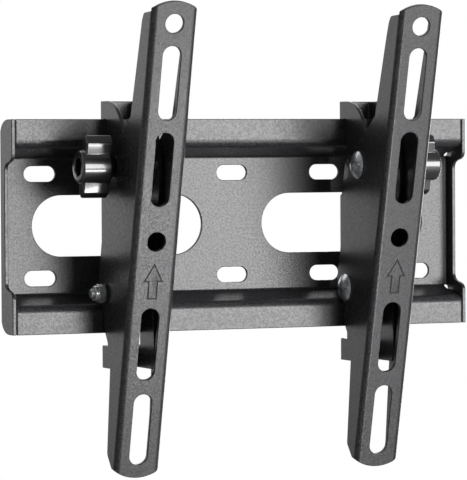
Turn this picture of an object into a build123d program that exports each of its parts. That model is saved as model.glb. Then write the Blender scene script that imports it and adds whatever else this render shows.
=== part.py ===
from build123d import *
import os
from math import cos, radians, sin, tan

# Tilting wall bracket for a flat screen, millimetres.
# +X to the right, +Z up, the wall lies behind at +Y and the screen in front at -Y.
# The origin is the centre of the plate's rear face, on the wall.

# wall plate
plate_height = 102.0
plate_sheet = 1.8
plate_bend = 1.2           # inner bend radius
web_height = 68.0          # flat web between the two steps
rail_height = 11.7         # flat face of each rail
rail_depth = 18.5          # wall to the front face of the rails
rail_end_gap = 0.5         # slit between a rail's end and the ear
slot_pitch = 50.0
slot_columns = 5
end_margin = 20.0          # outer slots' centres to the plate's ends
slot_row_spacing = 50.0
slot_length = 16.0
slot_width = 7.5
window_length = 88.0
window_height = 29.4
window_offset = 60.0       # centre of each window from the middle
flange_depth = 8.0         # end flange in its low middle part
flange_low_height = 52.0   # height of that low part
ear_depth = 18.8           # end flange beside the rails
ear_rise = 9.0             # height of the S-shaped rise from flange to ear
ear_corner = 17.0          # height of the ear's rounded rear corner
ear_top_length = 6.0       # straight top edge of an ear
relief_radius = 1.5        # corner relief between web, step and flange

# arms, folded channels
arm_sheet = 2.0
arm_bend = 0.8             # inner bend radius
arm_width = 23.0
arm_end_radius = 19.5      # the face's rounded ends
top_margin = 10.6          # top hole's centre to the arm's top
bottom_margin = 6.5        # lowest slot to the arm's lower end
flange_top_gap = 4.6       # side flanges end this far from the arm's ends
flange_bottom_gap = 3.0
flange_at_top = 12.2       # flange depth at the top end
flange_above_pivot = 16.6  # just above the deep part
deep_flange = 40.3         # deep part around the two bolts
deep_top = 30.0            # heights of the deep part, from the middle hole
deep_bottom = -34.5
shoulder_top = 56.5        # where the slope down to the deep part starts
lip_depth = 29.35          # flange where it passes in front of the lower rail
lip_slant = 1.65           # the lip's front edge leans by this much each way
lip_top = -41.5
lip_bottom = -50.5
flange_below_pivot = 17.5
shoulder_bottom = -59.5
flange_at_bottom = 11.6
flange_corner = 5.5        # height of the sloped corner at the lower end
flange_top_cut = 1.5       # sloped corner at the top end
flange_top_corner = 6.5    # where it starts
flange_round = 2.75
hole_radius = 4.5          # top hole, middle hole and half the slots' width
top_hole = 103.5           # heights on the arm, from the middle hole
arm_slot_length = 35.0
top_slot = 75.5
second_slot = 34.5
third_slot = -50.0
lowest_slot = -92.0
arrow_tip = -10.3
arrow_neck = -19.4
arrow_foot = -27.9
arrow_width = 10.0
arrow_shaft = 5.0
arrow_line = 0.7
arrow_groove = 0.35

# tilt mechanism
pivot_before_rail = 3.9    # pivot axis to the rails' front face
pivot_z = -31.9
pivot_behind_face = 30.0   # both bolts lie this far behind the arm's face
pivot_below_hole = 33.0    # pivot axis under the arm's middle hole
bolt_distance = 62.0       # pivot bolt to clamp bolt
rest_tilt = 13.5
most_tilt = 15.0
arm_offset = 63.2          # each arm from the plate's middle

# hook brackets, folded channels inside the arms
bracket_sheet = 1.8
bracket_bend = 1.2
bracket_side_gap = 0.3     # bracket's flange to arm's flange
bracket_rear = 9.6         # wall to the bracket's rear web
hook_rise = 8.6            # metal above the rail's top edge
hook_drop = 7.5            # prong behind the rail
hook_flat = 9.4            # straight top edge
hook_radius = 22.0         # round front of the hook
hook_sweep = 65.0          # degrees of that round
rail_gap = 0.3             # notch edges to the rail
rear_top = 11.6            # upper end of the rear web's middle part
rear_bottom_gap = 3.0      # lower end of that part, from the lower step
rear_slope = 4.5
slot_wall = 4.0            # metal around the arc slot's front end
catch_gap = 6.2            # lower rail's edge to the catch
catch_height = 10.8
catch_reach = 14.6         # metal in front of the pivot axis, at the catch
front_waist = 12.0         # and beside the axis
corner_cut = 2.6

# fasteners, M5
thread_radius = 2.5
head_radius = 6.75
head_height = 3.3
neck_across = 5.4          # square neck of the carriage bolts
running_gap = 0.1          # bolt in a round hole
slot_gap = 0.2             # bolt in the arc slot
washer_radius = 5.0
washer_thickness = 1.0
nut_across = 8.0
nut_height = 4.7
lock_hex_height = 3.3
lock_collar_radius = 3.7
lock_collar_height = 1.7
lock_ring_height = 1.2
lock_ring_radius = 3.1
bolt_beyond_nut = 1.7

# knob
knob_length = 19.0         # arm's flange to the hub's end
hub_radius = 7.8
hub_taper = 3.8            # tapered foot of the hub
hub_foot_radius = 4.0
wing_span = 30.2
wing_thickness = 7.2
wing_start = 3.6           # along the bolt, from the arm's flange
wing_end = 16.5
wing_ridge = 3.0           # sloped faces at a wing's tip
knob_seat = 6.0            # knob nut's seat, from the arm's flange
knob_bolt_end = 11.6       # clamp bolt's end, from the arm's flange
pocket_gap = 0.05

plate_width = (slot_columns - 1) * slot_pitch + 2 * end_margin
arm_slots = (top_slot, second_slot, third_slot, lowest_slot)
arm_above = top_hole + top_margin
arm_below = arm_slot_length / 2 - lowest_slot + bottom_margin
arm_flange_top = arm_above - flange_top_gap
arm_flange_bottom = flange_bottom_gap - arm_below
half_arm = arm_width / 2
half_bracket = half_arm - arm_sheet - bracket_side_gap
rail_top = plate_height / 2
rail_inner = rail_top - rail_height
web_top = web_height / 2
pivot_y = -rail_depth - pivot_before_rail
catch_top = -rail_top - catch_gap
catch_bottom = catch_top - catch_height
catch_front = pivot_y - catch_reach
rear_bottom = rear_bottom_gap - web_top
clamp_z = bolt_distance    # clamp bolt in the arm's own frame, whose origin is the pivot
face_y = -pivot_behind_face
hole_z = pivot_below_hole


def folded(points, thickness, inner_radius, side):
    """Closed section of a folded sheet: a bent line and its offset."""
    line = FilletPolyline(*points, radius=inner_radius)
    return make_face(Wire(line.edges()).offset_2d(thickness, kind=Kind.ARC, side=side))


def slab(face, half_width):
    """A YZ outline made solid across the middle plane."""
    return extrude(face, half_width, both=True)


def rod(radius, start, end, y=0.0, z=0.0):
    """Cylinder along X between two stations."""
    return Pos((start + end) / 2, y, z) * Rot(0, 90, 0) * Cylinder(radius, abs(end - start))


def hexagon(across, start, end, y=0.0, z=0.0):
    """Hexagonal bar along X with two corners up and down."""
    face = Plane.YZ * Rot(0, 0, 90) * RegularPolygon(across / 2, 6, major_radius=False)
    return Pos(start, y, z) * extrude(face, end - start)


def plate_section():
    """YZ section of the plate: rail, step, web, step, rail."""
    front = [
        (-rail_depth + plate_sheet, rail_top),
        (-rail_depth + plate_sheet, rail_inner),
        (0.0, web_top),
        (0.0, -web_top),
        (-rail_depth + plate_sheet, -rail_inner),
        (-rail_depth + plate_sheet, -rail_top),
    ]
    line = FilletPolyline(*front, radius=plate_bend + plate_sheet)
    wire = Wire(line.edges()).offset_2d(plate_sheet, kind=Kind.ARC, side=Side.RIGHT)
    return Plane.YZ * make_face(wire)


def end_flange_outline():
    """YZ outline of an end flange with its two ears."""
    low = flange_low_height / 2
    high = low + ear_rise
    front = -ear_depth
    back = -ear_depth + ear_top_length
    with BuildSketch(Plane.YZ) as outline:
        with BuildLine():
            lower = Line((-flange_depth, 0), (-flange_depth, low))
            rise = Spline(lower @ 1, (front, high), tangents=((0, 1), (0, 1)))
            side = Line(rise @ 1, (front, rail_top))
            top = Line(side @ 1, (back, rail_top))
            corner = Spline(top @ 1, (0, rail_top - ear_corner), tangents=((1, 0), (0, -1)))
            Line(corner @ 1, (0, 0))
            Line((0, 0), lower @ 0)
        make_face()
        mirror(about=Plane.XZ)
    return outline.sketch


def wall_plate():
    half = plate_width / 2
    inside = half - plate_sheet
    rail_end = inside - rail_end_gap
    plate = slab(plate_section(), rail_end)
    # web, bend and end flanges, all in one section seen from above
    web_line = [
        (-inside, -ear_depth),
        (-inside, -plate_sheet),
        (inside, -plate_sheet),
        (inside, -ear_depth),
    ]
    tray = extrude(folded(web_line, plate_sheet, plate_bend, Side.LEFT), rail_top, both=True)
    sides = slab(end_flange_outline(), half)
    middle = Box(2 * inside - 2 * plate_bend, 4 * rail_depth, 2 * rail_top)
    ends = tray & (sides - middle)
    # above the web the flanges are only ears, cut free from it
    bend = plate_sheet + plate_bend
    for end in (-1, 1):
        for level in (-1, 1):
            low = web_top - relief_radius
            z = level * (low + rail_top) / 2
            cut = Pos(end * (inside - bend), -bend / 2, z) * Box(2 * bend, bend, rail_top - low)
            ends -= cut
    for end in (-1, 1):
        trim = Box(2 * bend, 2 * bend, web_height)
        plate -= Pos(end * (inside - plate_bend + bend), 0, 0) * trim
    plate += ends
    for end in (-1, 1):
        for level in (-1, 1):
            relief = Rot(90, 0, 0) * Cylinder(relief_radius, 6 * plate_sheet)
            plate -= Pos(end * (inside - plate_bend / 2), -plate_sheet, level * web_top) * relief
    # wall slots and the two windows
    holes = Sketch()
    for column in range(slot_columns):
        x = (column - (slot_columns - 1) / 2) * slot_pitch
        for level in (-1, 1):
            holes += Pos(x, level * slot_row_spacing / 2) * SlotOverall(slot_length, slot_width)
    for side in (-1, 1):
        holes += Pos(side * window_offset, 0) * SlotOverall(window_length, window_height)
    plate -= extrude(Plane.XZ * holes, rail_depth / 2, both=True)
    return plate


def arm_side_outline():
    """YZ outline of an arm in its own frame, with the pivot axis at the origin."""
    points = [
        (0.0, arm_flange_top),
        (flange_at_top - flange_top_cut, arm_flange_top - 2 * flange_top_cut),
        (flange_at_top, arm_flange_top - flange_top_corner),
        (flange_above_pivot, shoulder_top),
        (deep_flange, deep_top),
        (deep_flange, deep_bottom),
        (lip_depth + lip_slant, lip_top),
        (lip_depth - lip_slant, lip_bottom),
        (flange_below_pivot, shoulder_bottom),
        (flange_at_bottom, arm_flange_bottom + flange_corner),
        (2 * arm_sheet, arm_flange_bottom),
        (0.0, arm_flange_bottom),
    ]
    body = make_face(Polyline(*points, close=True))
    corners = body.vertices().filter_by(lambda v: v.X > arm_sheet and v.Y > arm_flange_bottom + arm_sheet)
    ends = corners.filter_by(lambda v: v.X < (flange_at_top + flange_above_pivot) / 2)
    deep = corners.filter_by(lambda v: v.X > deep_flange - arm_sheet)
    body = fillet(ends + deep, flange_round)
    lip = Pos(arm_sheet / 2, (arm_above - arm_below) / 2) * Rectangle(arm_sheet, arm_above + arm_below)
    return Plane.YZ * Pos(face_y, hole_z) * (body + lip)


def arm_face_outline():
    """XZ outline of an arm's face with its rounded ends."""
    length = arm_above + arm_below
    middle = (arm_above - arm_below) / 2
    face = Pos(0, middle) * Rectangle(arm_width, length)
    top = Pos(0, arm_above - arm_end_radius) * Circle(arm_end_radius)
    bottom = Pos(0, -arm_below + arm_end_radius) * Circle(arm_end_radius)
    barrel = Pos(0, middle) * Rectangle(arm_width, length - 2 * arm_end_radius)
    return face & (barrel + top + bottom)


def arrow_outline():
    """An 'up' arrow drawn as one line around its shape."""
    half = arrow_width / 2
    shaft = arrow_shaft / 2
    points = [
        (0, arrow_tip),
        (half, arrow_neck),
        (shaft, arrow_neck),
        (shaft, arrow_foot),
        (-shaft, arrow_foot),
        (-shaft, arrow_neck),
        (-half, arrow_neck),
    ]
    arrow = make_face(Polyline(*points, close=True))
    return arrow - offset(arrow, -arrow_line, kind=Kind.INTERSECTION)


def arm(outward):
    """One arm in its own frame; outward is the side of its knob and nut."""
    half = half_arm
    inner = half - arm_sheet
    section_line = [(-inner, deep_flange), (-inner, arm_sheet), (inner, arm_sheet), (inner, deep_flange)]
    section = Pos(0, face_y) * folded(section_line, arm_sheet, arm_bend, Side.RIGHT)
    channel = Pos(0, 0, hole_z) * extrude(section, arm_below, both=True)
    channel &= slab(arm_side_outline(), half)
    ends = Plane.XZ * Pos(0, hole_z) * arm_face_outline()
    channel &= extrude(ends, 2 * deep_flange, both=True)
    holes = Pos(0, top_hole) * Circle(hole_radius)
    holes += Circle(hole_radius)
    for height in arm_slots:
        holes += Pos(0, height) * Rot(0, 0, 90) * SlotOverall(arm_slot_length, 2 * hole_radius)
    front = Plane.XZ * Pos(0, hole_z) * holes
    channel -= Pos(0, face_y, 0) * extrude(front, 2 * arm_sheet, both=True)
    mark = Plane.XZ * Pos(0, hole_z) * arrow_outline()
    channel -= Pos(0, face_y, 0) * extrude(mark, arrow_groove, both=True)
    for z in (0.0, clamp_z):
        channel -= rod(thread_radius + running_gap, 0, outward * (half + 1), z=z)
        square = Pos(-outward * half, 0, z) * Box(4 * arm_sheet, neck_across, neck_across)
        channel -= square
    return channel


def hook_outline():
    """YZ outline of a hook bracket, cut before it is folded."""
    top = rail_top + hook_rise
    rear = -bracket_rear
    notch_front = -rail_depth - rail_gap
    notch_back = -rail_depth + plate_sheet + rail_gap
    flat_end = rear - hook_flat
    turn = radians(hook_sweep)
    round_end = (
        flat_end - hook_radius * sin(turn),
        top - hook_radius + hook_radius * cos(turn),
    )
    slot_front = pivot_y - bolt_distance * sin(radians(most_tilt)) - thread_radius - slot_wall
    slope = (round_end[0] - slot_front) / tan(radians(90) - turn)
    mid = (
        flat_end - hook_radius * sin(turn / 2),
        top - hook_radius + hook_radius * cos(turn / 2),
    )
    with BuildSketch(Plane.YZ) as outline:
        with BuildLine():
            flat = Line((rear, top), (flat_end, top))
            nose = ThreePointArc(flat @ 1, mid, round_end)
            Polyline(
                nose @ 1,
                (slot_front, round_end[1] - slope),
                (slot_front, pivot_z + bolt_distance - 3 * slot_wall),
                (pivot_y - front_waist, pivot_z),
                (catch_front, catch_top + corner_cut),
                (catch_front, catch_bottom + corner_cut),
                (catch_front + corner_cut, catch_bottom),
                (rear, catch_bottom),
                (rear, catch_top - corner_cut),
                (rear - corner_cut, catch_top),
                (notch_front, catch_top),
                (notch_front, -web_top - rear_slope),
                (rear, rear_bottom),
                (rear, rear_top),
                (rear - corner_cut / 2, rear_top + corner_cut / 2),
                (rear - 1.5 * corner_cut, rear_top + corner_cut),
                (notch_front, web_top - rail_gap),
                (notch_front, rail_top),
                (notch_back, rail_top),
                (notch_back, rail_top - hook_drop + corner_cut / 2),
                (notch_back + corner_cut / 2, rail_top - hook_drop),
                (rear, rail_top - hook_drop),
                flat @ 0,
            )
        make_face()
    return outline.sketch


def arc_slot():
    """YZ outline of the slot that the clamp bolt travels in."""
    travel = CenterArc((pivot_y, pivot_z), bolt_distance, 90, most_tilt)
    return Plane.YZ * SlotArc(travel, 2 * (thread_radius + slot_gap))


def hook_bracket():
    inner = half_bracket - bracket_sheet
    depth = 2 * pivot_behind_face
    line = [(-inner, -depth), (-inner, -bracket_sheet), (inner, -bracket_sheet), (inner, -depth)]
    section = Pos(0, -bracket_rear) * folded(line, bracket_sheet, bracket_bend, Side.LEFT)
    bracket = extrude(section, 2 * rail_top, both=True)
    bracket &= slab(hook_outline(), half_bracket)
    bracket -= rod(thread_radius + running_gap, -half_arm, half_arm, pivot_y, pivot_z)
    bracket -= slab(arc_slot(), half_arm)
    return bracket


def carriage_bolt(outward, end):
    """Domed bolt through both arm flanges; its head is on the inward side."""
    seat = -outward * half_arm
    dome_radius = (head_radius**2 + head_height**2) / (2 * head_height)
    with BuildSketch() as half_dome:
        with BuildLine():
            Line((0, 0), (head_radius, 0))
            RadiusArc((head_radius, 0), (0, head_height), -dome_radius)
            Line((0, head_height), (0, 0))
        make_face()
    dome = revolve(half_dome.sketch, Axis.Y, 360)
    dome = Pos(seat, 0, 0) * Rot(0, 0, 90 * outward) * dome
    neck = Pos(seat + outward * arm_sheet / 2, 0, 0) * Box(arm_sheet, neck_across, neck_across)
    shank = rod(thread_radius, seat, outward * (half_arm + end))
    tip = outward * (half_arm + end)
    shank = chamfer(shank.edges().filter_by(GeomType.CIRCLE).sort_by(Axis.X)[-1 if tip > 0 else 0], 0.5)
    return dome + neck + shank


def washer(outward, gap):
    start = outward * half_arm
    end = start + outward * washer_thickness
    return rod(washer_radius, start, end) - rod(thread_radius + gap, start, end)


def plain_nut(outward, start):
    """Hexagonal nut with chamfered corners."""
    begin = outward * (half_arm + start)
    end = begin + outward * nut_height
    nut = hexagon(nut_across, begin, end)
    cone = rod(nut_across / 2 * 1.12, begin, end)
    cone = chamfer(cone.edges().filter_by(GeomType.CIRCLE), 0.45)
    return (nut & cone) - rod(thread_radius + pocket_gap, begin, end)


def lock_nut(outward):
    """Lock nut whose collar is rolled over a nylon ring."""
    begin = outward * (half_arm + washer_thickness)
    top = begin + outward * lock_hex_height
    end = top + outward * lock_collar_height
    body = hexagon(nut_across, begin, top)
    cone = rod(nut_across / 2 * 1.12, begin, top)
    body &= chamfer(cone.edges().filter_by(GeomType.CIRCLE), 0.4)
    collar = rod(lock_collar_radius, top - outward * 0.5, end)
    rim = collar.edges().filter_by(GeomType.CIRCLE).sort_by(Axis.X)[-1 if outward > 0 else 0]
    nut = body + fillet(rim, 0.5)
    nut -= rod(thread_radius, begin, end)
    ring_end = top + outward * lock_ring_height
    nut -= rod(lock_ring_radius, top, ring_end)
    ring = rod(lock_ring_radius, top, ring_end) - rod(thread_radius, top, ring_end)
    return nut, ring


def knob(outward):
    """Wing knob: tapered hub, two wings with ridged tips, hexagonal pocket."""
    foot = washer_thickness
    with BuildSketch(Plane.XY) as half_hub:
        with BuildLine():
            Polyline(
                (foot, 0),
                (foot, hub_foot_radius),
                (foot + hub_taper, hub_radius),
                (knob_length - 0.6, hub_radius),
                (knob_length, hub_radius - 0.6),
                (knob_length, 0),
                close=True,
            )
        make_face()
    hub = revolve(half_hub.sketch, Axis.X, 360)
    half_span = wing_span / 2
    half_thick = wing_thickness / 2
    flat = half_span - wing_ridge
    tip = [
        (-half_thick, -flat),
        (-half_thick, flat),
        (-half_thick + wing_ridge, half_span),
        (half_thick - wing_ridge, half_span),
        (half_thick, flat),
        (half_thick, -flat),
        (half_thick - wing_ridge, -half_span),
        (-half_thick + wing_ridge, -half_span),
    ]
    outline = Plane.YZ * make_face(Polyline(*tip, close=True))
    wings = Pos(wing_start, 0, 0) * extrude(outline, wing_end - wing_start)
    wings = chamfer(wings.faces().sort_by(Axis.X)[-1].edges(), 0.6)
    body = hub + wings
    body -= rod(thread_radius + running_gap, 0, knob_length)
    body -= hexagon(nut_across + 2 * pocket_gap, knob_seat, knob_length + 1)
    body = Pos(half_arm, 0, 0) * body
    return body if outward > 0 else mirror(body, about=Plane.YZ)


def build_side(name, x, outward):
    """All pieces of one arm assembly, each in its place on the plate."""
    bracket_place = Pos(x, 0, 0)
    arm_place = Pos(x, pivot_y, pivot_z) * Rot(rest_tilt, 0, 0)
    clamp_place = arm_place * Pos(0, 0, clamp_z)
    nut, ring = lock_nut(outward)
    pivot_end = washer_thickness + lock_hex_height + lock_collar_height + bolt_beyond_nut
    return {
        f"{name}_hook_bracket": bracket_place * hook_bracket(),
        f"{name}_arm": arm_place * arm(outward),
        f"{name}_pivot_bolt": arm_place * carriage_bolt(outward, pivot_end),
        f"{name}_pivot_washer": arm_place * washer(outward, 0.0),
        f"{name}_lock_nut": arm_place * nut,
        f"{name}_lock_nut_ring": arm_place * ring,
        f"{name}_clamp_bolt": clamp_place * carriage_bolt(outward, knob_bolt_end),
        f"{name}_knob_washer": clamp_place * washer(outward, running_gap),
        f"{name}_knob": clamp_place * knob(outward),
        f"{name}_knob_nut": clamp_place * plain_nut(outward, knob_seat),
    }


os.makedirs("parts", exist_ok=True)
pieces = {"wall_plate": wall_plate()}
pieces.update(build_side("left", -arm_offset, -1))
pieces.update(build_side("right", arm_offset, 1))
for node, shape in pieces.items():
    export_step(shape, f"parts/{node}.step")
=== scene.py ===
import math

import bmesh
import bpy
import numpy as np
from mathutils import Matrix, Vector


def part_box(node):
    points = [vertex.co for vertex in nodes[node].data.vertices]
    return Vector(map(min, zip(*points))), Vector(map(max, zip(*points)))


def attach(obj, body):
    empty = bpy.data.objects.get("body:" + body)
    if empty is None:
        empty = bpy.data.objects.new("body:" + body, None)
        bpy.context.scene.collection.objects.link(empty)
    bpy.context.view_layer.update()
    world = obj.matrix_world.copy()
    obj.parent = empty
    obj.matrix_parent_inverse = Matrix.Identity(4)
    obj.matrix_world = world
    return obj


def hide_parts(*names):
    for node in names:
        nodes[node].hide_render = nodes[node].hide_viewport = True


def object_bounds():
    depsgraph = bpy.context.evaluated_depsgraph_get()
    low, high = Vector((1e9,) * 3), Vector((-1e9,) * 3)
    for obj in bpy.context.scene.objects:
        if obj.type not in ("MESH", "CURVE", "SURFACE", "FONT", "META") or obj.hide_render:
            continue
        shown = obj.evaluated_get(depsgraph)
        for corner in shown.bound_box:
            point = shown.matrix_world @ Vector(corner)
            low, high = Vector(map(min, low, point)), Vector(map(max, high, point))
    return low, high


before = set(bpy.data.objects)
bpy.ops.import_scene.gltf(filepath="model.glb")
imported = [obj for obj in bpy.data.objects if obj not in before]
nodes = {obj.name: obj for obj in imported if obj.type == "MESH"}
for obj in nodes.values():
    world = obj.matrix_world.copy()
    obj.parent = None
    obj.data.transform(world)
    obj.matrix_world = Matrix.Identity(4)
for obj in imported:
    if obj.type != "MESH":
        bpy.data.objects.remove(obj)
cadBox = [list(corner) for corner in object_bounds()]
sides = ("left", "right")
print("frame loaded,", len(nodes), "nodes")


# small helpers, shared by every piece

def linear(hexColour):
    # sRGB hex to linear: below 0.04045 divide by 12.92, above it a 2.4 power curve
    values = [int(hexColour[i:i + 2], 16) / 255 for i in (1, 3, 5)]
    return tuple(v / 12.92 if v <= 0.04045 else ((v + 0.055) / 1.055) ** 2.4 for v in values) + (1.0,)


def addNode(tree, kind, settings=None, inputs=None):
    # one node with its own settings; an input is a value, or the output socket that feeds it
    made = tree.nodes.new(kind)
    for name, value in (settings or {}).items():
        setattr(made, name, value)
    for name, value in (inputs or {}).items():
        if isinstance(value, bpy.types.NodeSocket):
            tree.links.new(value, made.inputs[name])
        else:
            made.inputs[name].default_value = value
    return made


def newMaterial(name):
    material = bpy.data.materials.new(name)
    material.use_nodes = True
    material.node_tree.nodes.clear()
    return material, material.node_tree


def finishMaterial(tree, shader):
    addNode(tree, "ShaderNodeOutputMaterial", inputs={"Surface": shader.outputs[0]})


def addNoise(tree, sizeMm, detail, **more):
    # noise in the object's own metres, with features of about this size
    place = addNode(tree, "ShaderNodeTexCoord").outputs["Object"]
    inputs = {"Vector": place, "Scale": 1000 / sizeMm, "Detail": detail, **more}
    return addNode(tree, "ShaderNodeTexNoise", inputs=inputs).outputs["Fac"]


def addRange(tree, value, first, last, start, end, blend="LINEAR"):
    # the value's stretch from first to last, mapped to the stretch from start to end
    return addNode(tree, "ShaderNodeMapRange", {"interpolation_type": blend}, {
        "Value": value, "From Min": first, "From Max": last,
        "To Min": start, "To Max": end}).outputs["Result"]


def addMath(tree, operation, first, second):
    return addNode(tree, "ShaderNodeMath", {"operation": operation}, {0: first, 1: second}).outputs[0]


def addBump(tree, height, depthMm, under=None):
    inputs = {"Height": height, "Strength": 1.0, "Distance": depthMm / 1000}
    if under:
        inputs["Normal"] = under
    return addNode(tree, "ShaderNodeBump", inputs=inputs).outputs["Normal"]


# materials

# black polyester powder coat over steel, sprayed and baked: a fine sandy skin that
# scatters the studio light into a soft grey sheen and hides the metal's own grain
powderCoats = {
    "powderCoatedSteel": {
        "colour": "#19191b", "fleckColour": "#3e3e41",
        "roughness": 0.32, "roughnessSpread": 0.05, "ior": 1.58,
        "grainMm": 0.95,          # sandy grain, coarser than the real 0.3 mm so that it shows
        "grainDepthMm": 0.060,
        "waveMm": 4.0,            # slow orange peel under the grain
        "waveDepthMm": 0.003,
    },
    # the pressed arrow's groove faces, in a darker and duller coat: the darker colour is painted shade
    # in the bottom of the line
    "powderCoatPaintedGrooveShade": {
        "colour": "#161617", "fleckColour": "#1e1e20",
        "roughness": 0.6, "roughnessSpread": 0.05, "ior": 1.5,
        "grainMm": 0.6, "grainDepthMm": 0.01, "waveMm": 3.0, "waveDepthMm": 0.005,
    },
}
grainSpan = {"fleck": (0.42, 0.62), "gloss": (0.35, 0.65)}    # part of the noise's 0 to 1 in use


def powderCoat(name):
    look = powderCoats[name]
    material, tree = newMaterial(name)
    grain = addNoise(tree, look["grainMm"], 2.0, Roughness=0.7)
    wave = addNoise(tree, look["waveMm"], 1.0)
    fleck = addRange(tree, grain, *grainSpan["fleck"], 0, 1)
    tint = addNode(tree, "ShaderNodeMix", {"data_type": "RGBA"}, {
        "Factor": fleck, "A": linear(look["colour"]), "B": linear(look["fleckColour"])})
    rough, spread = look["roughness"], look["roughnessSpread"]
    gloss = addRange(tree, grain, *grainSpan["gloss"], rough + spread, rough - spread)
    peel = addBump(tree, wave, look["waveDepthMm"])
    shader = addNode(tree, "ShaderNodeBsdfPrincipled", inputs={
        "Base Color": tint.outputs["Result"], "Roughness": gloss,
        "IOR": look["ior"], "Normal": addBump(tree, grain, look["grainDepthMm"], peel)})
    finishMaterial(tree, shader)
    return material


# bright zinc plate with clear passivation, tumbled: a soft metal shine with tiny dents
zincPlate = {
    "colour": "#e6e8ea",
    "roughness": 0.32,
    "roughnessSpread": 0.08,
    "dentMm": 1.1,
    "dentDepthMm": 0.02,
    "dentSpan": (0.3, 0.7),       # part of the noise's 0 to 1 that the roughness follows
}


def zincPlatedSteel():
    material, tree = newMaterial("zincPlatedSteel")
    dents = addNoise(tree, zincPlate["dentMm"], 3.0)
    rough, spread = zincPlate["roughness"], zincPlate["roughnessSpread"]
    shader = addNode(tree, "ShaderNodeBsdfPrincipled", inputs={
        "Base Color": linear(zincPlate["colour"]), "Metallic": 1.0,
        "Roughness": addRange(tree, dents, *zincPlate["dentSpan"], rough - spread, rough + spread),
        "Normal": addBump(tree, dents, zincPlate["dentDepthMm"])})
    finishMaterial(tree, shader)
    return material


# injection moulded black ABS: a satin body under a smooth skin that takes the lamps'
# highlights, with faint flow marks from the tool
knobPlastic = {
    "colour": "#1b1b1d",
    "ior": 1.57,
    "roughness": 0.33,
    "roughnessSpread": 0.03,
    "skinRoughness": 0.13,        # the smooth skin that the polished mould leaves
    "skinIor": 1.62,
    "flowMm": 2.5,
    "flowDepthMm": 0.01,
    "flowSpan": (0.3, 0.7),
}


def mouldedAbs():
    material, tree = newMaterial("mouldedAbs")
    flow = addNoise(tree, knobPlastic["flowMm"], 2.0)
    rough, spread = knobPlastic["roughness"], knobPlastic["roughnessSpread"]
    marks = addBump(tree, flow, knobPlastic["flowDepthMm"])
    shader = addNode(tree, "ShaderNodeBsdfPrincipled", inputs={
        "Base Color": linear(knobPlastic["colour"]), "IOR": knobPlastic["ior"],
        "Roughness": addRange(tree, flow, *knobPlastic["flowSpan"], rough - spread, rough + spread),
        "Coat Weight": 1.0, "Coat Roughness": knobPlastic["skinRoughness"],
        "Coat IOR": knobPlastic["skinIor"], "Normal": marks, "Coat Normal": marks})
    finishMaterial(tree, shader)
    return material


# turned nylon 6: a soft satin skin with the faint haze of the resin; black for the
# washers, natural cream for the ring in the lock nut
nylonLooks = {
    "mouldedNylonBlack": {"colour": "#222223", "roughness": 0.5},
    "naturalNylon": {"colour": "#d8d5c8", "roughness": 0.45},
}
nylonHaze = {"sizeMm": 0.8, "depthMm": 0.01, "roughnessSpread": 0.08}


def nylon(name):
    look = nylonLooks[name]
    material, tree = newMaterial(name)
    haze = addNoise(tree, nylonHaze["sizeMm"], 2.0)
    rough, spread = look["roughness"], nylonHaze["roughnessSpread"]
    shader = addNode(tree, "ShaderNodeBsdfPrincipled", inputs={
        "Base Color": linear(look["colour"]),
        "Roughness": addRange(tree, haze, 0, 1, rough - spread, rough + spread),
        "Normal": addBump(tree, haze, nylonHaze["depthMm"])})
    finishMaterial(tree, shader)
    return material


steel = powderCoat("powderCoatedSteel")
# the arrow's darker coat, painted shade in the pressed line
grooveShadeCoat = powderCoat("powderCoatPaintedGrooveShade")
zinc = zincPlatedSteel()
knobAbs = mouldedAbs()
nylonBlack = nylon("mouldedNylonBlack")
nylonNatural = nylon("naturalNylon")
finishes = {
    "wall_plate": steel, "hook_bracket": steel, "arm": steel,
    "pivot_bolt": zinc, "clamp_bolt": zinc, "lock_nut": zinc, "knob_nut": zinc,
    "pivot_washer": nylonBlack, "knob_washer": nylonBlack,
    "lock_nut_ring": nylonNatural, "knob": knobAbs,
}


def paint(piece, material):
    piece.data.materials.clear()
    piece.data.materials.append(material)


for name, piece in nodes.items():
    kind = name.split("_", 1)[1] if name.startswith(sides) else name
    paint(piece, finishes[kind])
print("materials made and given to the frame")


# surfaces worked out on a grid

sameSpot = 2e-6              # metres; points nearer to each other than this are one


def gridFaces(rows, columns, closedRows):
    # quads between neighbouring points; the columns always close into a ring,
    # and the rows do too where the profile comes back to its start
    row = np.arange(rows if closedRows else rows - 1)[:, None]
    column = np.arange(columns)[None, :]
    nextRow, nextColumn = (row + 1) % rows, (column + 1) % columns
    quads = [row * columns + column, row * columns + nextColumn,
             nextRow * columns + nextColumn, nextRow * columns + column]
    return np.stack(np.broadcast_arrays(*quads), axis=-1).reshape(-1, 4)


def makePiece(name, points, faces, sharpDegrees, material, body, stands):
    # points in metres, already in place; the poles' doubles are merged, the faces turned outwards
    mesh = bpy.data.meshes.new(name)
    mesh.vertices.add(len(points))
    mesh.vertices.foreach_set("co", points.astype(np.float32).ravel())
    mesh.loops.add(faces.size)
    mesh.loops.foreach_set("vertex_index", faces.astype(np.int32).ravel())
    mesh.polygons.add(len(faces))
    mesh.polygons.foreach_set("loop_start", np.arange(0, faces.size, faces.shape[1], dtype=np.int32))
    mesh.update()
    cleanMesh(mesh, turnOut=True)
    mesh.shade_smooth()
    mesh.set_sharp_from_angle(angle=math.radians(sharpDegrees))
    addPiece(name, mesh, material, body, stands)


def cleanMesh(mesh, turnOut, flatDegrees=None):
    # equal points become one and, where asked, flat neighbours one face
    work = bmesh.new()
    work.from_mesh(mesh)
    bmesh.ops.remove_doubles(work, verts=work.verts, dist=sameSpot)
    if flatDegrees:
        bmesh.ops.dissolve_limit(
            work, angle_limit=math.radians(flatDegrees), verts=work.verts, edges=work.edges)
    if turnOut:
        bmesh.ops.recalc_face_normals(work, faces=work.faces)
    work.to_mesh(mesh)
    work.free()


def addPiece(name, mesh, material, body, stands):
    piece = bpy.data.objects.new(name, mesh)
    bpy.context.collection.objects.link(piece)
    paint(piece, material)
    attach(piece, body)
    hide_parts(stands)
    return piece


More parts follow.
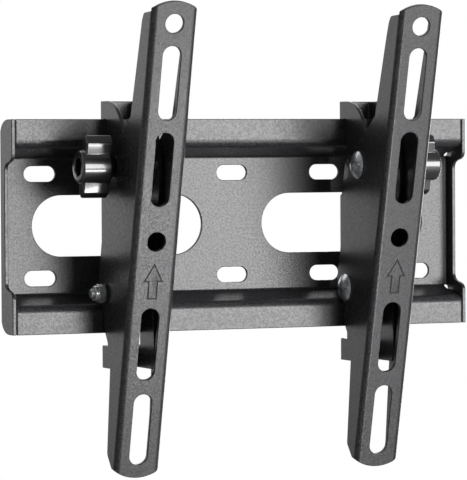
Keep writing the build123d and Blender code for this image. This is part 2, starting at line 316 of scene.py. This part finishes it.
def turnedPoints(station, radius, angle):
    # station along the axis and distance from it, both in mm, for every angle of the ring
    station, radius, angle = np.broadcast_arrays(station, radius, angle)
    return np.stack([station, radius * np.cos(angle), radius * np.sin(angle)], axis=-1).reshape(-1, 3)


tilt = math.radians(13.5)    # of the arms as the frame holds them


def middleOf(node):
    low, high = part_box(node)
    return (np.array(low) + np.array(high)) / 2


def ringAngles(count, turn=0.0):
    return np.linspace(0, 2 * math.pi, count, endpoint=False)[None, :] + turn


def ringRows(values, angle):
    # one row of the grid for each value, the same all the way round
    return np.array(values, float)[:, None] + 0 * angle


def innerEnd(node, side):
    # a left piece points to -X, so its inner end is the high one; and the way outwards
    low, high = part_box(node)
    return (high[0], -1) if side == "left" else (low[0], 1)


def putOnArm(points, axisNode, seat, outward):
    # the piece's own x runs outwards from the arm's flange; turning it half round about z
    # puts it on the left side with its thread still right-handed; then the arm's tilt
    x, y, z = points.T
    y = outward * y
    centre = middleOf(axisNode)
    return np.stack([seat + outward * x / 1000,
                     centre[1] + (y * math.cos(tilt) - z * math.sin(tilt)) / 1000,
                     centre[2] + (y * math.sin(tilt) + z * math.cos(tilt)) / 1000], axis=-1)


# bolts: domed head, square neck, M5 thread; mm

bolt = {
    "headRadius": 6.75,
    "headHeight": 3.3,
    "rimHeight": 0.45,        # short straight rim under the dome
    "rimFall": ((0.225, 0.0), (0.12, 0.03), (0.0, 0.2)),    # above the seat, and in from the rim
    "neckAcross": 5.4,
    "neckCorner": 0.5,        # rounding of the square neck
    "neckLength": 2.0,        # the arm's sheet, which the neck sits in
    "threadStart": 0.4,       # above the neck
    "threadRadius": 2.5,
    "threadDepth": 0.48,
    "pitch": 0.8,
    "endChamfer": 0.6,
    "endFace": ((0.0, 1.5), (0.08, 1.0), (0.1, 0.0)),    # depth below the end, and radius
    "domeRows": 22,
    "ringPoints": 64,
    "rowsPerPitch": 8,
    "grooveMiddle": 1.35,     # height of the triangle wave before it is clipped, in groove depths
    "grooveSlope": 3.4,       # its fall to either side, in groove depths for one pitch
    "sharpDegrees": 40,
}


def boltHead(angle):
    # a circle's arc through the crown and the rim, then the rim's short fall to the seat
    dome = bolt["headHeight"] - bolt["rimHeight"]
    ball = (bolt["headRadius"] ** 2 + dome ** 2) / (2 * dome)
    sweep = np.linspace(0, math.asin(bolt["headRadius"] / ball), bolt["domeRows"])
    station = [*(-bolt["headHeight"] + ball * (1 - np.cos(sweep))), *(-up for up, _ in bolt["rimFall"])]
    radius = [*(ball * np.sin(sweep)), *(bolt["headRadius"] - inward for _, inward in bolt["rimFall"])]
    return ringRows(station, angle), ringRows(radius, angle)


def boltNeck(angle):
    # a square with its corners cut round, in the flange's thickness
    square = bolt["neckAcross"] / 2 / np.cos((angle % (math.pi / 2)) - math.pi / 4)
    square = np.minimum(np.roll(square, bolt["ringPoints"] // 8, axis=1),
                        bolt["neckAcross"] / 2 * math.sqrt(2) - bolt["neckCorner"])
    length = bolt["neckLength"]
    station = ringRows([0.0, length, length + bolt["threadStart"] / 2], angle)
    return station, np.concatenate([square, square, bolt["threadRadius"] + 0 * angle])


def boltThread(length, angle):
    # the radius falls from the crest by a clipped triangle wave of
    # (station / pitch - angle / full turn), and a cone limits it at the end
    start = bolt["neckLength"] + bolt["threadStart"]
    rows = int((length - start) / bolt["pitch"] * bolt["rowsPerPitch"])
    station = ringRows(np.linspace(start, length, rows), angle)
    phase = (station / bolt["pitch"] - angle / (2 * math.pi)) % 1
    groove = np.clip(bolt["grooveMiddle"] - np.abs(phase - 0.5) * bolt["grooveSlope"], 0, 1)
    runIn = np.clip((station - start) / bolt["pitch"], 0, 1)
    crest = bolt["threadRadius"] - np.clip(station - length + bolt["endChamfer"], 0, None)
    return station, np.minimum(bolt["threadRadius"] - bolt["threadDepth"] * groove * runIn, crest)


def makeBolt(side, kind):
    node = f"{side}_{kind}"
    low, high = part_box(node)
    length = (high[0] - low[0]) * 1000 - bolt["headHeight"]
    inner, outward = innerEnd(node, side)
    angle = ringAngles(bolt["ringPoints"])
    end = (ringRows([length - depth for depth, _ in bolt["endFace"]], angle),
           ringRows([radius for _, radius in bolt["endFace"]], angle))
    parts = [boltHead(angle), boltNeck(angle), boltThread(length, angle), end]
    station, radius = (np.concatenate(rows) for rows in zip(*parts))
    points = putOnArm(turnedPoints(station, radius, angle), node,
                      inner + outward * bolt["headHeight"] / 1000, outward)
    faces = gridFaces(len(station), bolt["ringPoints"], False)
    makePiece(f"{side}_{kind}_threaded", points, faces, bolt["sharpDegrees"], zinc,
              f"{side}_arm", node)


# nuts, mm

nut = {
    "across": 8.0,
    "height": 4.7,
    "lockHexHeight": 3.3,
    "collarRadius": 3.7,
    "collarHeight": 1.7,
    "lipRadius": 3.05,        # the rolled lip that holds the nylon ring
    "lipRound": 0.5,
    "lipRings": 6,
    "lipEase": 0.1,           # the lip's inner edge is opened by this
    "lipDepth": 0.45,
    "holeRadius": 2.5,
    "holeGap": 0.05,          # of the knob nut, round the clamp bolt
    "holeChamfer": 0.25,
    "chamferDegrees": 25,
    "coneShare": 0.97,        # flat round end of the hexagon, as a share of its width
    "ringPoints": 96,
    "sharpDegrees": 30,
}


def hexRadius(angle, across):
    # distance from the axis to the flat of a hexagon, with a corner at angle 0
    return across / 2 / np.cos((angle % (math.pi / 3)) - math.pi / 6)


def hexRows(height, angle):
    # the bore's chamfer, then a hexagon whose faces end in a cone at both ends, which
    # leaves the round arcs on its corners
    hexagon = hexRadius(angle, nut["across"])
    cone = nut["across"] / 2 * nut["coneShare"]
    drop = (hexagon - cone) * math.tan(math.radians(nut["chamferDegrees"]))
    hole, chamfer = nut["holeRadius"], nut["holeChamfer"]
    station = [ringRows([chamfer, 0.0, 0.0], angle), drop, height - drop, ringRows([height], angle)]
    radius = [ringRows([hole, hole + chamfer, cone], angle), hexagon, hexagon, ringRows([cone], angle)]
    return station, radius


def makeNut(side, kind, ending, body, height, stationAbove, radiusAbove):
    node = f"{side}_{kind}"
    inner, outward = innerEnd(node, side)
    angle = ringAngles(nut["ringPoints"], math.pi / 2)
    station, radius = hexRows(height, angle)
    station = np.concatenate([*station, ringRows(stationAbove, angle)])
    radius = np.concatenate([*radius, ringRows(radiusAbove, angle)])
    points = putOnArm(turnedPoints(station, radius, angle), node, inner, outward)
    faces = gridFaces(len(station), nut["ringPoints"], True)
    makePiece(f"{node}_{ending}", points, faces, nut["sharpDegrees"], zinc, body, node)


def makeKnobNut(side):
    top, chamfer = nut["height"], nut["holeChamfer"]
    hole = nut["holeRadius"] + nut["holeGap"]
    makeNut(side, "knob_nut", "chamfered", f"{side}_knob", top,
            [top, top - chamfer], [hole + chamfer, hole])


def makeLockNut(side):
    # hexagon below, then a collar turned with a rolled lip over the nylon ring
    top = nut["lockHexHeight"]
    end = top + nut["collarHeight"]
    collar, lip, rolled = nut["collarRadius"], nut["lipRadius"], nut["lipRound"]
    bend = np.linspace(0, math.pi / 2, nut["lipRings"])
    station = [top, end - rolled, *(end - rolled + rolled * np.sin(bend)), end,
               end - nut["lipDepth"], top, top]
    radius = [collar, collar, *(collar - rolled + rolled * np.cos(bend)), lip + nut["lipEase"],
              lip, lip, nut["holeRadius"]]
    makeNut(side, "lock_nut", "rolled", f"{side}_arm", top, station, radius)


for side in sides:
    makeBolt(side, "pivot_bolt")
    makeBolt(side, "clamp_bolt")
    makeKnobNut(side)
    makeLockNut(side)
print("bolts and nuts made")


# folded sheets and the knobs, with their edges rounded

edges = {
    # piece: radius of its outer edges in mm, rings of the rounding, edges sharper than this
    "wall_plate": (0.30, 2, 35),
    "hook_bracket": (0.30, 2, 35),
    "arm": (0.35, 2, 35),
    "knob": (0.55, 3, 28),
}
slimCorner = 10      # degrees; a corner this slim would draw the rounding out into a spike
flatTurn = 0.4       # degrees; triangles that turn by less lie in one flat face
boxMargin = 2e-5     # metres that a rounding may stand out of its node's box
boxRounds = 3        # how often the edges that do are looked for


def readArray(items, name, kind, width=1):
    values = np.empty(len(items) * width, kind)
    items.foreach_get(name, values)
    return values.reshape(-1, width) if width > 1 else values


def edgesToRound(mesh, sharpDegrees):
    # an edge is rounded where its two faces turn by more than the limit, and where at neither
    # end the next edge round the same face leaves it at nearly the same or the opposite heading
    place = readArray(mesh.vertices, "co", np.float32, 3)
    normal = readArray(mesh.polygons, "normal", np.float32, 3)
    start = readArray(mesh.polygons, "loop_start", np.int32)
    total = readArray(mesh.polygons, "loop_total", np.int32)
    corner = readArray(mesh.loops, "vertex_index", np.int32)
    edge = readArray(mesh.loops, "edge_index", np.int32)
    ends = readArray(mesh.edges, "vertices", np.int32, 2)
    face = np.repeat(np.arange(len(total)), total)
    index = np.arange(len(corner))
    first = start[face]
    last = first + total[face] - 1
    following = np.where(index == last, first, index + 1)
    before = np.where(index == first, last, index - 1)
    order = np.argsort(edge, kind="stable")
    pair = edge[order][:-1] == edge[order][1:]
    cosine = (normal[face[order][:-1]] * normal[face[order][1:]]).sum(axis=1)
    sharp = np.zeros(len(ends), bool)
    sharp[edge[order][:-1][pair]] = cosine[pair] < math.cos(math.radians(sharpDegrees))
    ahead = place[corner[following]] - place[corner]
    behind = place[corner[before]] - place[corner]
    lengths = np.linalg.norm(ahead, axis=1) * np.linalg.norm(behind, axis=1)
    heading = (ahead * behind).sum(axis=1) / lengths
    slim = math.cos(math.radians(slimCorner))
    one, other = sharp[edge], sharp[edge[before]]
    running = (one ^ other) & (np.abs(heading) > slim)
    folded = one & other & (heading > slim)
    spiky = np.zeros(len(place), bool)
    spiky[corner[running | folded]] = True
    return sharp & ~spiky[ends].any(axis=1)


# mm: the arm's face ahead of the pivot, the arrow's stretch along the arm from the pivot,
# and how far under the face its faces' middles lie
arrow = {"faceAhead": 30.0, "from": 1.5, "to": 25.0, "shallowest": 0.03, "deepest": 1.2}


def grooveShadeFaces(mesh, side):
    # the pressed arrow: faces just behind the arm's front face, between the middle hole and
    # the slot below it, found by turning the arm upright about its pivot; they take the darker coat
    # that paints shade into the line
    middle = readArray(mesh.polygons, "center", np.float32, 3) - middleOf(f"{side}_pivot_bolt")
    depth = (middle[:, 1] * math.cos(tilt) + middle[:, 2] * math.sin(tilt)) * 1000 + arrow["faceAhead"]
    along = (middle[:, 2] * math.cos(tilt) - middle[:, 1] * math.sin(tilt)) * 1000
    between = (along > arrow["from"]) & (along < arrow["to"])
    return between & (depth > arrow["shallowest"]) & (depth < arrow["deepest"])


def roundedCopy(node, material, body):
    # a copy of the node with its flat triangles merged and its sharp edges rounded
    side, kind = node.split("_", 1) if node.startswith(sides) else ("", node)
    radius, rings, sharp = edges[kind]
    mesh = nodes[node].data.copy()
    mesh.name = f"{node}_rounded"
    if mesh.has_custom_normals:
        mesh.normals_split_custom_set([(0, 0, 0)] * len(mesh.loops))
    cleanMesh(mesh, turnOut=False, flatDegrees=flatTurn)
    mesh.shade_smooth()
    mesh.set_sharp_from_angle(angle=math.radians(sharp))
    piece = addPiece(f"{node}_rounded", mesh, material, body, node)
    rounded = edgesToRound(mesh, sharp)
    if kind == "arm":
        # the arrow's groove faces take the darker coat: painted shade in the pressed line
        grooveShadeMask = grooveShadeFaces(mesh, side)
        mesh.materials.append(grooveShadeCoat)
        mesh.polygons.foreach_set("material_index", grooveShadeMask.astype(np.int32))
        total = readArray(mesh.polygons, "loop_total", np.int32)
        touching = readArray(mesh.loops, "edge_index", np.int32)[np.repeat(grooveShadeMask, total)]
        rounded[touching] = False        # the pressed line keeps its crisp edges
        print(side, "arrow faces", int(grooveShadeMask.sum()))
    weight = mesh.attributes.new("bevel_weight_edge", "FLOAT", "EDGE")
    bevel = piece.modifiers.new("edgeRound", "BEVEL")
    bevel.width = radius / 1000
    bevel.segments = rings
    bevel.limit_method = "WEIGHT"
    bevel.use_clamp_overlap = False
    # wide flat faces keep their own normal, and the rounds blend into them
    flats = piece.modifiers.new("flatFaces", "WEIGHTED_NORMAL")
    flats.mode = "FACE_AREA"
    flats.weight = 100           # the largest face at a corner decides
    flats.keep_sharp = True
    keepInside(piece, mesh, node, rounded, weight)


def keepInside(piece, mesh, node, rounded, weight):
    # edges whose rounding would stand out of the node's own box stay square
    low, high = (np.array(corner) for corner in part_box(node))
    ends = readArray(mesh.edges, "vertices", np.int32, 2)
    place = readArray(mesh.vertices, "co", np.float32, 3)
    for attempt in range(boxRounds):
        weight.data.foreach_set("value", rounded.astype(np.float32))
        mesh.update()
        done = piece.evaluated_get(bpy.context.evaluated_depsgraph_get())
        made = readArray(done.data.vertices, "co", np.float32, 3)
        outside = made[((made < low - boxMargin) | (made > high + boxMargin)).any(axis=1)]
        if not len(outside):
            return
        nearest = ((outside[:, None, :] - place[None, :, :]) ** 2).sum(axis=2).argmin(axis=1)
        rounded &= ~np.isin(ends, nearest).any(axis=1)
        print(node, "edges kept square near", len(set(nearest.tolist())), "points")


roundedCopy("wall_plate", steel, "plate")
for side in sides:
    roundedCopy(f"{side}_hook_bracket", steel, f"{side}_carrier")
    roundedCopy(f"{side}_arm", steel, f"{side}_arm")
    roundedCopy(f"{side}_knob", knobAbs, f"{side}_knob")
print("sheet edges and knobs rounded")


# camera, floor and lights

camera = {
    "positionMm": (-618.01, -1432.74, 32.98),
    "yawDegrees": 23.3857,
    "pitchDegrees": 1.5115,       # looking down
    "rollDegrees": -0.3358,
    "focalPixels": 3177.12,
    "framePixels": 480,           # the photograph's longer side
    "sensorMm": 36.0,
    "clipMetres": (0.05, 50),
}


def makeCamera():
    # the view axis is yawed from +Y towards +X, pitched down, then rolled about itself
    yaw, pitch, roll = (math.radians(camera[k]) for k in ("yawDegrees", "pitchDegrees", "rollDegrees"))
    ahead = Vector((math.sin(yaw), math.cos(yaw), 0))
    up = Vector((0, 0, 1))
    forward = ahead * math.cos(pitch) - up * math.sin(pitch)
    right = Vector((math.cos(yaw), -math.sin(yaw), 0))
    above = up * math.cos(pitch) + ahead * math.sin(pitch)
    across = right * math.cos(roll) + above * math.sin(roll)
    upward = above * math.cos(roll) - right * math.sin(roll)
    data = bpy.data.cameras.new("photoCamera")
    data.sensor_width = camera["sensorMm"]
    data.lens = camera["focalPixels"] * camera["sensorMm"] / camera["framePixels"]
    data.clip_start, data.clip_end = camera["clipMetres"]
    made = bpy.data.objects.new("photoCamera", data)
    turn = Matrix((across, upward, -forward)).transposed().to_4x4()
    made.matrix_world = Matrix.Translation(Vector(camera["positionMm"]) / 1000) @ turn
    bpy.context.collection.objects.link(made)
    bpy.context.scene.camera = made


makeCamera()

studio = {
    "floorColour": "#8c8c8c",
    "floorRoughness": 0.9,
    "floorDropMm": 450,          # floor below the lowest point of the object
    "floorMetres": 2.8,
    "floorNear": 0.65,           # metres from the middle where its fade to white starts
    "floorLift": 0.75,           # paler to the camera alone; the floor still takes shadows
    "worldStrength": 0.22,
    "backdropEdge": 0.48,        # how nearly a reflection must point straight back to meet it
    "backdropSoftness": 0.15,
    "backdropFoot": (-0.15, 0.03),   # rise of the reflection where the backdrop fades in
    "backdropStrength": 1.3,
    # name: place in metres, point aimed at, size in metres, watts; the low lamp stands where
    # the knobs' wings mirror it, and the back lamp lights only what the photograph hides
    "lamps": {
        "key": ((0.70, -1.60, 0.10), (0, 0, 0), (1.1, 0.9), 30),
        "low": ((0.195, -0.71, -0.325), (-0.080, -0.040, 0.030), (0.08, 0.12), 0.72),
        "fill": ((0.29, -0.72, -0.39), (0.0, -0.040, 0.0), (0.30, 0.34), 0.75),
        "back": ((1.5, 1.5, 0.1), (0, 0, 0), (1.6, 1.4), 30),
    },
}


def makeFloor():
    low = cadBox[0][2] - studio["floorDropMm"] / 1000
    half = studio["floorMetres"] / 2
    mesh = bpy.data.meshes.new("studioFloor")
    mesh.from_pydata([(-half, -half, low), (half, -half, low), (half, half, low), (-half, half, low)],
                     [], [(0, 1, 2, 3)])
    floor = bpy.data.objects.new("studioFloor", mesh)
    bpy.context.collection.objects.link(floor)
    material, tree = newMaterial("paleStudioPaper")
    paper = addNode(tree, "ShaderNodeBsdfPrincipled", inputs={
        "Base Color": linear(studio["floorColour"]), "Roughness": studio["floorRoughness"]})
    path = addNode(tree, "ShaderNodeLightPath")
    place = addNode(tree, "ShaderNodeTexCoord").outputs["Object"]
    away = addNode(tree, "ShaderNodeVectorMath", {"operation": "LENGTH"}, {0: place})
    fade = addRange(tree, away.outputs["Value"], studio["floorNear"], half,
                    studio["floorLift"], 1.0, "SMOOTHSTEP")
    lift = addMath(tree, "MULTIPLY", path.outputs["Is Camera Ray"], fade)
    glow = addNode(tree, "ShaderNodeEmission", inputs={"Color": (1, 1, 1, 1), "Strength": lift})
    both = addNode(tree, "ShaderNodeAddShader", inputs={0: paper.outputs[0], 1: glow.outputs[0]})
    finishMaterial(tree, both)
    paint(floor, material)


def makeWorld():
    # white where the camera or a clear view looks, and a plain soft level elsewhere. A
    # reflection finds the white backdrop behind the object and the dimmer room round it
    world = bpy.data.worlds.new("studioWorld")
    world.use_nodes = True
    tree = world.node_tree
    tree.nodes.clear()
    path = addNode(tree, "ShaderNodeLightPath").outputs
    heading = addNode(tree, "ShaderNodeTexCoord").outputs["Generated"]
    behind = addNode(tree, "ShaderNodeSeparateXYZ", inputs={"Vector": heading}).outputs
    edge, softness = studio["backdropEdge"], studio["backdropSoftness"]
    backdrop = addRange(tree, behind["Y"], edge - softness, edge + softness, 0, 1, "SMOOTHSTEP")
    foot = addRange(tree, behind["Z"], *studio["backdropFoot"], 0, studio["backdropStrength"],
                    "SMOOTHSTEP")
    wall = addMath(tree, "MULTIPLY", foot, backdrop)
    mirrored = addMath(tree, "MULTIPLY", path["Is Glossy Ray"], wall)
    seen = addMath(tree, "MAXIMUM", path["Is Camera Ray"], mirrored)
    clear = addNode(tree, "ShaderNodeMath", {"operation": "MAXIMUM", "use_clamp": True}, {
        0: seen, 1: path["Is Transmission Ray"]})
    soft = addNode(tree, "ShaderNodeBackground", inputs={
        "Color": (1, 1, 1, 1), "Strength": studio["worldStrength"]})
    white = addNode(tree, "ShaderNodeBackground", inputs={"Color": (1, 1, 1, 1), "Strength": 1.0})
    mixed = addNode(tree, "ShaderNodeMixShader", inputs={
        0: clear.outputs[0], 1: soft.outputs[0], 2: white.outputs[0]})
    addNode(tree, "ShaderNodeOutputWorld", inputs={"Surface": mixed.outputs[0]})
    bpy.context.scene.world = world


def makeLamps():
    for name, (place, aim, size, watts) in studio["lamps"].items():
        data = bpy.data.lights.new(name, "AREA")
        data.shape = "RECTANGLE"
        data.size, data.size_y = size
        data.energy = watts
        lamp = bpy.data.objects.new(name, data)
        lamp.location = place
        lamp.rotation_mode = "QUATERNION"
        lamp.rotation_quaternion = (Vector(aim) - Vector(place)).to_track_quat("-Z", "Y")
        lamp.visible_camera = False      # never stands in another view
        bpy.context.collection.objects.link(lamp)


makeFloor()
makeWorld()
makeLamps()
bpy.context.scene.view_settings.view_transform = "Standard"
print("camera, floor and lamps placed")
